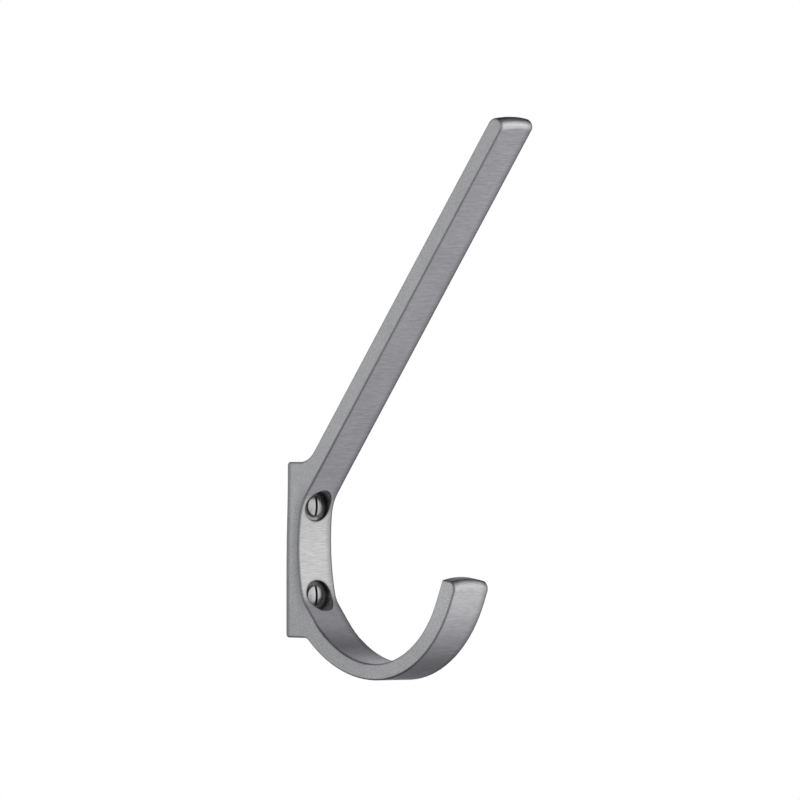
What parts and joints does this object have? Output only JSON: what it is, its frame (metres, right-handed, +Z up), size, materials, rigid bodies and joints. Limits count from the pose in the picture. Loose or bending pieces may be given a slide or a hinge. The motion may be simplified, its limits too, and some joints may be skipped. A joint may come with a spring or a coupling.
{
  "type": "hat and coat hook",
  "caption": "One-piece metal wall hook with a long leaning arm for a hat above and a wide curved cradle for a coat below, fixed by slotted screws.",
  "frame": {"origin": "centre of the back face, which lies against the wall", "axes": "+Z up, -Y out of the wall towards the room, X across the bar's width"},
  "size_m": [0.012, 0.0966, 0.1551],
  "materials": {
    "hook_metal": "satin brushed across the bar",
    "screw_metal": "fine turned, bright"
  },
  "bodies": {
    "root": {"hook_body": "hook_metal", "fixing_screws": "screw_metal"}
  },
  "joints": []
}
